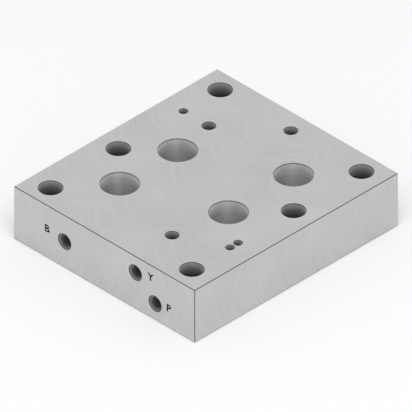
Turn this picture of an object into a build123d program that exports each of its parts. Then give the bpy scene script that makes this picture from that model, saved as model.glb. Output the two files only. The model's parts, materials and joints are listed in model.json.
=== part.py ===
from build123d import *
import os
from math import radians, tan

# Tapping plate for a size 10 directional valve: a rectangular aluminium block that is bolted between
# the valve and its manifold. The valve's oil ports run straight through it, and a tapped gauge port
# is drilled into each of them from the two end faces.
#
# X runs along the plate and Y across it. Z = 0 is the underside, which seals against the manifold,
# and the valve stands on the top face. The origin is the middle of the underside.
# The hole pattern is set out from bolt hole 1, at the -X, +Y corner: "along" is measured from it
# towards +X, and "across" towards -Y.

# Block
thickness = 50.8
end_margin = 19.05        # from the end faces to the bolt holes beside them
side_margin = 22.225      # from the side faces to the bolt holes beside them
edge_break = 0.5          # deburred outside edges
mouth_break = 0.4         # deburred hole mouths

# Bolt holes: four at the corners and one between them in each row
bolt_d = 19.84
bolt_span_along = 190.5
bolt_span_across = 158.75
bolt_5_along = 76.2
bolt_6_along = 114.3

# Main ports P and T, and A and B, each pair in one row
port_d = 31.75
row_pt_across = 34.925
row_ab_across = 123.825
port_p_along = 114.3
port_t_along = 41.275
port_a_along = 82.55
port_b_along = 147.6375

# Pilot ports X and Y, and drain port L in line with the end bolts
pilot_d = 11.11
pilot_x_along = 41.275
pilot_x_across = 130.175
pilot_y_along = 168.275
pilot_y_across = 44.45
drain_l_across = 79.375

# Recesses in the underside that hold the seal rings
port_seal_d = 44.45
port_seal_depth = 2.62
pilot_seal_d = 17.5
pilot_seal_depth = 1.95
recess_break = 0.25       # broken edge where a port opens in the floor of its recess

# Blind holes for the locating pins, in line with the bolt rows: the valve's pins drop into the top
# ones, and the plate's own pins are pressed into the underside
pin_d = 7.14
pin_depth = 9.5
pressed_pin_d = 6.35
pressed_pin_depth = 9.5
pin_1_along = 147.6375
pin_1_other_along = 138.7
pin_2_along = 41.275

# Gauge ports: a quarter-inch taper pipe thread, the hole drilled for its tap, and a narrow drilling
# on into the port. The thread's wall is at its widest size, without its ridges.
thread_d = 13.72
thread_depth = 14.3
thread_mouth_break = 0.6
tap_drill_d = 11.11
tap_drill_depth = 18.3
passage_d = 5.56
drill_point_angle = 118.0

# Gauge ports are at three levels, and those of P and A pass beside the middle of their port
level_high = 15.875       # below the top: X and Y
level_middle = 25.4       # B and T
level_low = 34.925        # P and A
side_step = 12.7          # from the axis of P or A to the axis of its gauge port

# Worked out from the sizes above
length = bolt_span_along + 2 * end_margin
width = bolt_span_across + 2 * side_margin

# How far a cutting shape stands out of the face that it enters
overrun = 1.0


def spot(along, across):
    """The X and Y of a hole, from its place in the pattern that starts at bolt hole 1."""
    return (end_margin - length / 2 + along, width / 2 - side_margin - across)


def turned(outline):
    """A solid turned about Z from one half of its section, given as radius and height points."""
    return revolve(make_face(Plane.XZ * Polyline(*outline, close=True)), Axis.Z)


def point_height(wide_d, narrow_d=0.0):
    """The height of a drill's point, or of the part of it that is left round a narrower hole."""
    return (wide_d - narrow_d) / 2 / tan(radians(drill_point_angle / 2))


def block():
    """The sawn and milled block, with all its edges deburred."""
    raw = Box(length, width, thickness, align=(Align.CENTER, Align.CENTER, Align.MIN))
    return chamfer(raw.edges(), edge_break)


def through_hole(diameter):
    """A hole right through the thickness, broken at both mouths."""
    r = diameter / 2
    flare = r + mouth_break + overrun
    return turned([
        (0, -overrun),
        (flare, -overrun),
        (r, mouth_break),
        (r, thickness - mouth_break),
        (flare, thickness + overrun),
        (0, thickness + overrun),
    ])


def sealed_port(diameter, seal_d, seal_depth):
    """A port through the thickness, with the recess for its seal ring in the underside."""
    r = diameter / 2
    seal_r = seal_d / 2
    return turned([
        (0, -overrun),
        (seal_r, -overrun),
        (seal_r, seal_depth),
        (r + recess_break, seal_depth),
        (r, seal_depth + recess_break),
        (r, thickness - mouth_break),
        (r + mouth_break + overrun, thickness + overrun),
        (0, thickness + overrun),
    ])


def blind_hole(diameter, depth):
    """A blind hole with a drill's point at its end, entering at Z = 0 and going up."""
    r = diameter / 2
    return turned([
        (0, -overrun),
        (r + mouth_break + overrun, -overrun),
        (r, mouth_break),
        (r, depth),
        (0, depth + point_height(diameter)),
    ])


def gauge_drilling(reach):
    """A gauge port's thread wall, tap drill and passage, entering at Z = 0 and going up by reach."""
    thread_r = thread_d / 2
    tap_r = tap_drill_d / 2
    passage_r = passage_d / 2
    return turned([
        (0, -overrun),
        (thread_r + thread_mouth_break + overrun, -overrun),
        (thread_r, thread_mouth_break),
        (thread_r, thread_depth),
        (tap_r, thread_depth + point_height(thread_d, tap_drill_d)),
        (tap_r, tap_drill_depth),
        (passage_r, tap_drill_depth + point_height(tap_drill_d, passage_d)),
        (passage_r, reach),
        (0, reach + point_height(passage_d)),
    ])


def bolt_holes():
    """The six bolt holes."""
    ends = [(along, across) for along in (0, bolt_span_along) for across in (0, bolt_span_across)]
    middles = [(bolt_5_along, 0), (bolt_6_along, bolt_span_across)]
    return [Pos(*spot(*place)) * through_hole(bolt_d) for place in ends + middles]


def oil_ports():
    """The four main ports, and the two pilot ports and the drain port."""
    main = [
        (port_p_along, row_pt_across),
        (port_t_along, row_pt_across),
        (port_a_along, row_ab_across),
        (port_b_along, row_ab_across),
    ]
    small = [
        (pilot_x_along, pilot_x_across),
        (pilot_y_along, pilot_y_across),
        (0, drain_l_across),
    ]
    main_port = sealed_port(port_d, port_seal_d, port_seal_depth)
    small_port = sealed_port(pilot_d, pilot_seal_d, pilot_seal_depth)
    return [Pos(*spot(*place)) * main_port for place in main] + [
        Pos(*spot(*place)) * small_port for place in small
    ]


def pin_holes():
    """The locating pin holes: three in the top face and two in the underside."""
    first = (pin_1_along, 0)
    second = (pin_2_along, bolt_span_across)
    top_hole = Pos(0, 0, thickness) * Rot(180, 0, 0) * blind_hole(pin_d, pin_depth)
    under_hole = blind_hole(pressed_pin_d, pressed_pin_depth)
    top = [Pos(*spot(*place)) * top_hole for place in (first, second, (pin_1_other_along, 0))]
    return top + [Pos(*spot(*place)) * under_hole for place in (first, second)]


def gauge_port(along, across, level, from_far_end):
    """A gauge port at a level below the top, drilled from one end face up to a port's axis."""
    x, y = spot(along, across)
    z = thickness - level
    if from_far_end:
        return Pos(length / 2, y, z) * Rot(0, -90, 0) * gauge_drilling(length / 2 - x)
    return Pos(-length / 2, y, z) * Rot(0, 90, 0) * gauge_drilling(length / 2 + x)


def gauge_ports():
    """P, Y and B are tapped from the +X end, and T, A and X from the -X end."""
    return [
        gauge_port(port_p_along, row_pt_across - side_step, level_low, True),
        gauge_port(pilot_y_along, pilot_y_across, level_high, True),
        gauge_port(port_b_along, row_ab_across, level_middle, True),
        gauge_port(port_t_along, row_pt_across, level_middle, False),
        gauge_port(port_a_along, row_ab_across - side_step, level_low, False),
        gauge_port(pilot_x_along, pilot_x_across, level_high, False),
    ]


def plate():
    """The finished plate."""
    return block() - (bolt_holes() + oil_ports() + pin_holes() + gauge_ports())


os.makedirs("parts", exist_ok=True)
export_step(plate(), "parts/plate.step")
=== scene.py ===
import json
import math
import bmesh
import bpy
from mathutils import Matrix, Vector


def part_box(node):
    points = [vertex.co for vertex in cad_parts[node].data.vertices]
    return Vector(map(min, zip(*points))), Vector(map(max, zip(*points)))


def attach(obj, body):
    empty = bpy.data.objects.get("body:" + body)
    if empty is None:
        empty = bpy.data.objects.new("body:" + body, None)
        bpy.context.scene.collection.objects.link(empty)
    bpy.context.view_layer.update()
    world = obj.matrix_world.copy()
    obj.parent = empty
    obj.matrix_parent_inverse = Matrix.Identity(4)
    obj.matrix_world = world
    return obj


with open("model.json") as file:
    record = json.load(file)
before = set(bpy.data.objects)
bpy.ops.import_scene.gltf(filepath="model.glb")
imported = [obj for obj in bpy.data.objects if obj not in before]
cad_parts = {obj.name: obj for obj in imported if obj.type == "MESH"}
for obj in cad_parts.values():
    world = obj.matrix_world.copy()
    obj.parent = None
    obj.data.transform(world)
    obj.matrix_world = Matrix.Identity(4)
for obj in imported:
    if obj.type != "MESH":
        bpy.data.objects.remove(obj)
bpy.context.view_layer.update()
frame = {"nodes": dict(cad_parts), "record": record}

# The plate
# A sawn block of 6061 aluminium, squared up on all six faces with a face mill. The main ports are
# bored, the other holes are drilled, and every edge is broken by hand after that.

mm = 0.001
plate = frame["nodes"]["plate"]
low_corner, high_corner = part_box("plate")
middle = (low_corner + high_corner) / 2
half_size = (high_corner - low_corner) / 2 / mm
mounts = {mount["name"]: mount for mount in frame["record"]["mounts"]}
upright_holes = [mount for mount in mounts.values() if "length_mm" in mount["dims"] and mount["axis"][2]]

# The marks of the tools, in mm
cutter_radius = 40.0      # of the face mill
pass_width = 68.0         # three passes cover the top
arc_pitch = 1.6           # really 0.2 mm, drawn wide enough to show
arc_depth = 0.005
ring_pitch = 0.9          # also drawn wider than the real 0.1 mm
ring_depth = 0.03
mark_length = 50.0        # over which a mark changes along its own length
cloud_size = 50.0         # of the paler and darker places in a face

# What belongs to a face, an edge or a hole, in mm
edge_shade_width = 0.8           # painted shade: the faces darken towards a broken edge over this width
face_skin = 0.7           # a point on a face or on a hole's broken edge is no further in than this
wall_skin = 0.2           # a point on a hole's wall is no further out than this from its radius
square_on = 0.95          # how far a normal leans towards an axis on a flat face
bored_radius = 12.0       # a hole of a larger radius than this is bored
other_dark_depth = 14.0   # of the painted shade on the walls that aren't in an upright hole

# Colours and tones, and how dull and drawn out the shine is
face_dark = "#bcbcbc"
face_light = "#cecece"
# painted shade: the dark line along every broken edge and hole rim
edge_shade_grey = "#747474"
wall_light = "#f5f5f5"         # of a wall with a tone of 1
noise_range = (0.3, 0.7)       # a noise lies between these nearly everywhere
cloud_share = 0.4              # of a face's tone, and the arcs have the rest
drilled_shade_tones = (0.8, 0.2)     # painted shade: a drilled wall's tone at the mouth, and where the hole is dark
bored_shade_tones = (0.9, 0.72)      # painted shade: a bored wall's tone at the mouth, and from half that depth on
ring_tones = (0.92, 1.06)      # a wall's tone is this many times darker or lighter in its rings
face_roughness = (0.36, 0.46)
drilled_roughness = 0.75
bored_roughness = 0.6
bored_stretch = 0.9


def shade(code):
    """A shader colour from its sRGB hex code."""
    parts = [int(code[i:i + 2], 16) / 255 for i in (1, 3, 5)]
    return [c / 12.92 if c <= 0.04045 else ((c + 0.055) / 1.055) ** 2.4 for c in parts] + [1.0]


def add(tree, kind, inputs, **settings):
    """Adds a node with its settings and links. A node given as an input stands for its first output."""
    node = tree.nodes.new("ShaderNode" + kind)
    for name, value in settings.items():
        setattr(node, name, value)
    for key, value in inputs.items() if isinstance(inputs, dict) else enumerate(inputs):
        if isinstance(value, bpy.types.Node):
            value = value.outputs[0]
        if isinstance(value, bpy.types.NodeSocket):
            tree.links.new(value, node.inputs[key])
        else:
            node.inputs[key].default_value = value
    return node


def start_material(name):
    """A new material with an empty node tree."""
    material = bpy.data.materials.new(name)
    material.use_nodes = True
    material.node_tree.nodes.clear()
    return material, material.node_tree


def dark_depth(radius):
    """How deep in mm an upright hole's painted shade is darkest. Light reaches further down a wide one."""
    return 3.0 + 1.1 * radius


def milled_aluminium():
    """Face-milled and bored aluminium: an even satin grey that shows the faint arcs of the cutter,
    and rings that draw the shine out along a bored port. Painted shade darkens the holes as they go
    down, and a painted dark line runs along every broken edge and hole rim."""
    material, tree = start_material("milled_aluminium")
    coordinates = add(tree, "TexCoord", {})
    place = add(tree, "VectorMath", {0: coordinates.outputs["Object"], "Scale": 1 / mm}, operation="SCALE")
    centred = add(tree, "VectorMath", [place, middle / mm], operation="SUBTRACT")
    along_x, along_y, along_z = add(tree, "SeparateXYZ", [centred]).outputs
    reach = add(tree, "VectorMath", [centred], operation="ABSOLUTE")
    gap = add(tree, "VectorMath", [half_size, reach], operation="SUBTRACT")
    insets = add(tree, "SeparateXYZ", [gap]).outputs
    normal = add(tree, "VectorMath", [coordinates.outputs["Normal"]], operation="ABSOLUTE")
    leans = add(tree, "SeparateXYZ", [normal]).outputs

    # Which points are on a flat face, and which are on or beside a broken edge, where painted shade
    # darkens the colour
    flats = []
    edge = -1.0
    skin = 0.0
    for inset, lean in zip(insets, leans):
        fade = add(tree, "MapRange", [inset, 0.0, edge_shade_width, 1.0, 0.0])
        edge = add(tree, "Math", [edge, fade], operation="ADD")
        near = add(tree, "Math", [inset, face_skin], operation="LESS_THAN")
        square = add(tree, "Math", [lean, square_on], operation="GREATER_THAN")
        flats.append(add(tree, "Math", [near, square], operation="MULTIPLY"))
        skin = add(tree, "Math", [skin, near], operation="MAXIMUM")
    on_end, on_side, on_top = flats
    upright_face = add(tree, "Math", [on_end, on_side], operation="ADD")
    on_face = add(tree, "Math", [upright_face, on_top], operation="ADD")
    broken = add(tree, "Math", [skin, on_face], operation="SUBTRACT")
    edge = add(tree, "Math", [edge, broken], operation="MAXIMUM", use_clamp=True)

    # How deep a point is, in parts of the depth at which its hole's painted shade is darkest
    plan = add(tree, "VectorMath", [place, (1, 1, 0)], operation="MULTIPLY")
    dark_at = other_dark_depth
    for hole in upright_holes:
        radius = hole["dims"]["r_mm"]
        axis = Vector((hole["pos_m"][0], hole["pos_m"][1], 0.0)) / mm
        off_axis = add(tree, "VectorMath", [plan, axis], operation="DISTANCE").outputs["Value"]
        within = add(tree, "Math", [off_axis, radius + wall_skin], operation="LESS_THAN")
        dark_at = add(tree, "Mix", {0: within, 2: dark_at, 3: dark_depth(radius)})
    bored = add(tree, "Math", [dark_at, dark_depth(bored_radius)], operation="GREATER_THAN")
    deep = add(tree, "Math", [insets["Z"], dark_at], operation="DIVIDE")

    # The cutter's arcs on a face, and the rings in a hole
    feed = add(tree, "Mix", {0: on_end, 2: along_x, 3: along_y})
    in_pass = add(tree, "Math", [along_y, pass_width / 2, -pass_width / 2], operation="WRAP")
    across = add(tree, "Mix", {0: on_top, 2: along_z, 3: in_pass})
    across_squared = add(tree, "Math", [across, across], operation="MULTIPLY")
    bow_squared = add(tree, "Math", [cutter_radius ** 2, across_squared], operation="SUBTRACT")
    bow = add(tree, "Math", [bow_squared], operation="SQRT")
    arc_place = add(tree, "Math", [feed, bow], operation="SUBTRACT")
    arc = add(tree, "Math", [arc_place, arc_pitch], operation="DIVIDE")
    ring = add(tree, "Math", [along_z, ring_pitch], operation="DIVIDE")
    mark = add(tree, "Mix", {0: on_face, 2: ring, 3: arc})
    along_mark = add(tree, "Math", [across, 1 / mark_length], operation="MULTIPLY")
    mark_place = add(tree, "CombineXYZ", [mark, along_mark])
    streaks = add(tree, "TexNoise", {"Vector": mark_place, "Scale": 1.0, "Detail": 3.0, "Roughness": 0.6})
    cloud = add(tree, "TexNoise", {"Vector": place, "Scale": 1 / cloud_size, "Detail": 2.0})
    tone = add(tree, "Mix", {0: cloud_share, 2: streaks, 3: cloud})

    # The colours of the faces, the walls with painted shade that deepens down each hole, and the edges
    # with a painted dark line
    face = add(tree, "ValToRGB", [tone])
    dark, light = face.color_ramp.elements
    dark.position, light.position = noise_range
    dark.color = shade(face_dark)
    light.color = shade(face_light)
    # painted shade: the walls darken with depth, as the light fails down a hole
    drilled_tone = add(tree, "MapRange", [deep, 0.0, 1.0, *drilled_shade_tones])
    bored_tone = add(tree, "MapRange", [deep, 0.0, 0.5, *bored_shade_tones])
    even_tone = add(tree, "Mix", {0: bored, 2: drilled_tone, 3: bored_tone})
    ring_tone = add(tree, "MapRange", [streaks, *noise_range, *ring_tones])
    wall_tone = add(tree, "Math", [even_tone, ring_tone], operation="MULTIPLY")
    wall = add(tree, "Mix", {0: wall_tone, 6: shade("#000000"), 7: shade(wall_light)}, data_type="RGBA")
    colour = add(tree, "Mix", {0: on_face, 6: wall.outputs[2], 7: face}, data_type="RGBA")
    # painted shade: broken edges, hole rims and the faces beside them are darkened towards the edge grey
    colour = add(tree, "Mix", {0: edge, 6: colour.outputs[2], 7: shade(edge_shade_grey)}, data_type="RGBA")

    # The shine: satin on a face, dull on a wall, and drawn out along a bored port by its fine rings
    in_bore = add(tree, "Math", [bored, on_face], operation="SUBTRACT", use_clamp=True)
    drawn_out = add(tree, "Math", [in_bore, bored_stretch], operation="MULTIPLY")
    wall_rough = add(tree, "Mix", {0: in_bore, 2: drilled_roughness, 3: bored_roughness})
    face_rough = add(tree, "MapRange", [tone, *noise_range, *face_roughness])
    rough = add(tree, "Mix", {0: on_face, 2: wall_rough, 3: face_rough})
    mark_depth = add(tree, "Mix", {0: on_face, 2: ring_depth * mm, 3: arc_depth * mm})
    relief = add(tree, "Bump", {"Distance": mark_depth, "Height": streaks})
    metal = add(tree, "BsdfPrincipled", {
        "Base Color": colour.outputs[2], "Metallic": 1.0, "Roughness": rough, "Normal": relief,
        "Anisotropic": drawn_out, "Tangent": add(tree, "CombineXYZ", [0.0, 0.0, 1.0])})
    add(tree, "OutputMaterial", [metal])
    return material


plate.material_slots[0].material = milled_aluminium()

# The gauge port threads
# Quarter-inch taper pipe threads, cut with a tap into the six ports of the end faces. The metal is
# the plate's own: each sleeve is the ring of it that lies between the thread and the port's wall.

gauge_ports = [mount for name, mount in mounts.items() if name.startswith("gauge_")]
pitch = 25.4 / 18             # 18 threads to the inch
thread_height = 0.8 * pitch
flank = thread_height * math.tan(math.radians(30))     # along the axis, of a 60 degree thread
flat = pitch / 2 - flank
taper = 1 / 32                # the radius gets this much smaller for each mm of depth
drilled_radius = 5.555        # of the hole that was there before the tap
bedding = 0.03                # the sleeve's outside lies this deep in the port's wall
turn_steps = 64
sharp_from = 25.0             # faces that meet at more degrees than this keep a sharp edge
tear_size = 0.4               # of the marks that the tap leaves on the flanks
tear_depth = 0.05
lit_depth = 10.0              # the light in a port fades over this depth
left_light = 0.3              # to this part of what its mouth gets


def thread_sleeve(radius, length):
    """A bmesh of one sleeve about Z in mm, from -length / 2 to its mouth at length / 2."""
    bm = bmesh.new()
    turns = math.ceil(length / pitch) + 2
    start = -length / 2 - pitch
    crest = [(flat + flank, thread_height), (2 * flat + flank, thread_height)]
    section = [(0, 0), (flat, 0)] + crest + [(pitch, 0)]
    corners = [bm.verts.new((radius - height, 0, start + rise)) for rise, height in section]
    edges = [bm.edges.new(pair) for pair in zip(corners, corners[1:])]
    bmesh.ops.spin(bm, geom=corners + edges, axis=(0, 0, 1), dvec=(0, 0, pitch / turn_steps),
                   angle=math.tau * turns, steps=turn_steps * turns)
    bmesh.ops.remove_doubles(bm, verts=bm.verts, dist=0.001)

    # The tap's taper, the drilled hole that cuts the crests off, and the countersunk mouth
    for vert in bm.verts:
        depth = length / 2 - vert.co.z
        tapered = vert.co.xy.length - taper * depth
        target = min(max(tapered, drilled_radius, radius - depth), radius)
        vert.co.xy *= target / vert.co.xy.length

    # Both ends cut square, and closed up to the outside of the sleeve
    for side in (-1, 1):
        everything = bm.verts[:] + bm.edges[:] + bm.faces[:]
        bmesh.ops.bisect_plane(bm, geom=everything, dist=0.001, plane_co=(0, 0, side * length / 2),
                               plane_no=(0, 0, side), clear_outer=True)
    rims = [edge for edge in bm.edges if edge.is_boundary]
    outside = []
    for side in (-1, 1):
        circle = bmesh.ops.create_circle(bm, segments=turn_steps, radius=radius + bedding)["verts"]
        bmesh.ops.translate(bm, verts=circle, vec=(0, 0, side * length / 2))
        outer_rim = [edge for edge in bm.edges if edge.is_wire]
        inner_rim = [edge for edge in rims if edge.verts[0].co.z * side > 0]
        bmesh.ops.triangle_fill(bm, edges=outer_rim + inner_rim, normal=(0, 0, side))
        outside += outer_rim
    bmesh.ops.bridge_loops(bm, edges=outside)
    bmesh.ops.recalc_face_normals(bm, faces=bm.faces)
    return bm


def tapped_aluminium():
    """Aluminium cut with a tap: torn a little along the flanks, and darkened deeper in the port by painted
    shade.
    """
    material, tree = start_material("tapped_aluminium")
    coordinates = add(tree, "TexCoord", {})
    place = add(tree, "VectorMath", {0: coordinates.outputs["Object"], "Scale": 1 / mm}, operation="SCALE")
    tears = add(tree, "TexNoise", {
        "Vector": place, "Scale": 1 / tear_size, "Detail": 4.0, "Roughness": 0.7})
    cut = add(tree, "ValToRGB", [tears])
    dark, light = cut.color_ramp.elements
    dark.position = 0.35
    dark.color = shade("#6a6a6a")
    light.position = 0.65
    light.color = shade("#9a9a9a")
    # painted shade: the thread's colour darkens towards black deeper in the port, as the light in it fades
    off_middle = add(tree, "Math", [add(tree, "SeparateXYZ", [place])], operation="ABSOLUTE")
    lit = add(tree, "MapRange", [off_middle, half_size.x - lit_depth, half_size.x, left_light, 1.0])
    colour = add(tree, "Mix", {0: lit, 6: shade("#000000"), 7: cut}, data_type="RGBA")
    relief = add(tree, "Bump", {"Strength": 0.3, "Distance": tear_depth * mm, "Height": tears})
    metal = add(tree, "BsdfPrincipled", {
        "Base Color": colour.outputs[2], "Metallic": 1.0, "Roughness": 0.38, "Normal": relief})
    add(tree, "OutputMaterial", [metal])
    return material


def finish_piece(name, bm, place, material):
    """Makes a piece of a bmesh in mm: puts it in its place, shades it and makes it ride on the plate."""
    bmesh.ops.transform(bm, matrix=place @ Matrix.Scale(mm, 4), verts=bm.verts)
    mesh = bpy.data.meshes.new(name)
    bm.to_mesh(mesh)
    bm.free()
    mesh.shade_smooth()
    mesh.set_sharp_from_angle(angle=math.radians(sharp_from))
    mesh.materials.append(material)
    piece = bpy.data.objects.new(name, mesh)
    bpy.context.collection.objects.link(piece)
    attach(piece, "root")
    return piece


tapped = tapped_aluminium()
sleeve = thread_sleeve(gauge_ports[0]["dims"]["r_mm"], gauge_ports[0]["dims"]["length_mm"])
for port in gauge_ports:
    facing = Vector(port["axis"]).to_track_quat("Z", "Y").to_matrix().to_4x4()
    place = Matrix.Translation(port["pos_m"]) @ facing
    thread = finish_piece(port["name"] + "_thread", sleeve.copy(), place, tapped)
sleeve.free()

# The port letters
# Every gauge port has its letter beside it, about 7 mm high, put on with a stencil in black
# marking ink. The film of ink is only a few hundredths of a millimetre thick.

letter_height = 7.2
bolder = 0.03             # grows the strokes, in parts of the font's size
notch = 0.014             # closes the waist of the B, where its grown outline crosses itself
ink_film = 0.03
thin_patch = 5 / 6        # the size of the places where the ink is thin

# How far each letter is to the right of its port and above it, as the eye sees the end face
beside = {"b": (-19.6, 3.0), "y": (17.0, 4.1), "p": (15.4, 3.1)}
beside_others = (16.5, 4.0)


def letter_mesh(letter):
    """A bmesh of one capital in mm, centred on the origin, reading along X with its top towards Y."""
    text = bpy.data.curves.new("letter", "FONT")
    text.body = letter
    text.offset = bolder
    carrier = bpy.data.objects.new("letter", text)
    bpy.context.collection.objects.link(carrier)
    flat_letter = bpy.data.meshes.new_from_object(carrier)
    bpy.data.objects.remove(carrier)
    bm = bmesh.new()
    bm.from_mesh(flat_letter)
    bmesh.ops.remove_doubles(bm, verts=bm.verts, dist=notch)
    lowest = Vector([min(vert.co[i] for vert in bm.verts) for i in range(3)])
    highest = Vector([max(vert.co[i] for vert in bm.verts) for i in range(3)])
    size = letter_height / (highest.y - lowest.y)
    bmesh.ops.translate(bm, verts=bm.verts, vec=-(lowest + highest) / 2)
    bmesh.ops.scale(bm, verts=bm.verts, vec=(size, size, size))

    # The film goes as far into the face as it stands out of it, so that no gap shows under it
    film = bmesh.ops.extrude_face_region(bm, geom=bm.faces)
    lifted = [part for part in film["geom"] if isinstance(part, bmesh.types.BMVert)]
    bmesh.ops.translate(bm, verts=lifted, vec=(0, 0, 2 * ink_film))
    bmesh.ops.translate(bm, verts=bm.verts, vec=(0, 0, -ink_film))
    bmesh.ops.recalc_face_normals(bm, faces=bm.faces)
    return bm


def marking_ink():
    """Black marking ink on metal: flat black, a little thin and grey in places."""
    material, tree = start_material("black_marking_ink")
    coordinates = add(tree, "TexCoord", {})
    place = add(tree, "VectorMath", {0: coordinates.outputs["Object"], "Scale": 1 / mm}, operation="SCALE")
    thin = add(tree, "TexNoise", {"Vector": place, "Scale": 1 / thin_patch, "Detail": 3.0})
    film = add(tree, "ValToRGB", [thin])
    dark, light = film.color_ramp.elements
    dark.position = 0.45
    dark.color = shade("#080808")
    light.position = 0.75
    light.color = shade("#1c1c1c")
    ink = add(tree, "BsdfPrincipled", {"Base Color": film, "Roughness": 0.7, "IOR": 1.3})
    add(tree, "OutputMaterial", [ink])
    return material


ink = marking_ink()
for port in gauge_ports:
    letter = port["name"][-1]
    outward = Vector(port["axis"])
    upward = Vector((0, 0, 1))
    rightward = upward.cross(outward)
    right_by, up_by = beside.get(letter, beside_others)
    spot = Vector(port["pos_m"]) + (rightward * right_by + upward * up_by) * mm
    spot.x = half_size.x * mm * outward.x
    turned = Matrix((rightward, upward, outward)).transposed().to_4x4()
    finish_piece("letter_" + letter, letter_mesh(letter.upper()), Matrix.Translation(spot) @ turned, ink)

# The floor
# Not part of the plate: a plain white studio floor, which takes the plate's soft shadow.

floor_half = 4.0          # in metres
floor_drop = 0.05 * mm    # just clear of the underside

bm = bmesh.new()
bmesh.ops.create_grid(bm, x_segments=1, y_segments=1, size=floor_half)
bmesh.ops.translate(bm, verts=bm.verts, vec=(0, 0, -floor_drop))
floor_mesh = bpy.data.meshes.new("floor")
bm.to_mesh(floor_mesh)
bm.free()
floor = bpy.data.objects.new("floor", floor_mesh)
bpy.context.collection.objects.link(floor)
floor_paint, tree = start_material("white_floor_paint")
matt = add(tree, "BsdfDiffuse", [shade("#fbfbfb")])
add(tree, "OutputMaterial", [matt])
floor_mesh.materials.append(floor_paint)

# Light and camera
# An even white surround, one large soft lamp overhead, a tall strip lamp that only shines on metal and
# shows up the bored walls, and a parallel camera at the true isometric angle.

fill_level = 0.6          # the surround as it lights the floor and the ink
mirrored_level = 0.95     # the surround as the metal mirrors it
frame_width = 0.3272      # how much of the scene the picture's width takes in
frame_shift = -0.0006     # sets the plate as high in the picture as the photograph has it

# Where the lamps and the camera stand, from the middle of the plate
softbox_place = Vector((2.0, 2.0, 5.2))
strip_place = Vector((0.7, 1.08, 1.6))
strip_back = Vector((0.7, 1.08, 0.3))       # the way its back faces, as it stands almost upright
towards_camera = Vector((1, 1, 1))

world = bpy.data.worlds.new("studio")
bpy.context.scene.world = world
world.use_nodes = True
tree = world.node_tree
tree.nodes.clear()
path = add(tree, "LightPath", {})
off_camera = add(tree, "Mix", {0: path.outputs["Is Glossy Ray"], 2: fill_level, 3: mirrored_level})
strength = add(tree, "Mix", {0: path.outputs["Is Camera Ray"], 2: off_camera, 3: 1.0})
surround = add(tree, "Background", [(1.0, 1.0, 1.0, 1.0), strength])
add(tree, "OutputWorld", [surround])

softbox_data = bpy.data.lights.new("softbox", "AREA")
softbox_data.size = 4.8
softbox_data.energy = 200.0
softbox = bpy.data.objects.new("softbox", softbox_data)
softbox.location = middle + softbox_place
softbox.visible_glossy = False
softbox.rotation_euler = softbox_place.to_track_quat("Z", "Y").to_euler()
bpy.context.collection.objects.link(softbox)

strip_data = bpy.data.lights.new("strip", "AREA")
strip_data.shape = "RECTANGLE"
strip_data.size = 0.8
strip_data.size_y = 2.6
strip_data.energy = 3.2
strip = bpy.data.objects.new("strip", strip_data)
strip.location = middle + strip_place
strip.visible_diffuse = False
strip.rotation_euler = strip_back.to_track_quat("Z", "Y").to_euler()
bpy.context.collection.objects.link(strip)

camera_data = bpy.data.cameras.new("camera")
camera_data.type = "ORTHO"
camera_data.ortho_scale = frame_width
camera_data.shift_y = frame_shift
camera = bpy.data.objects.new("camera", camera_data)
camera.location = middle + towards_camera
camera.rotation_euler = towards_camera.to_track_quat("Z", "Y").to_euler()
bpy.context.collection.objects.link(camera)
bpy.context.scene.camera = camera
bpy.context.scene.view_settings.view_transform = "Standard"
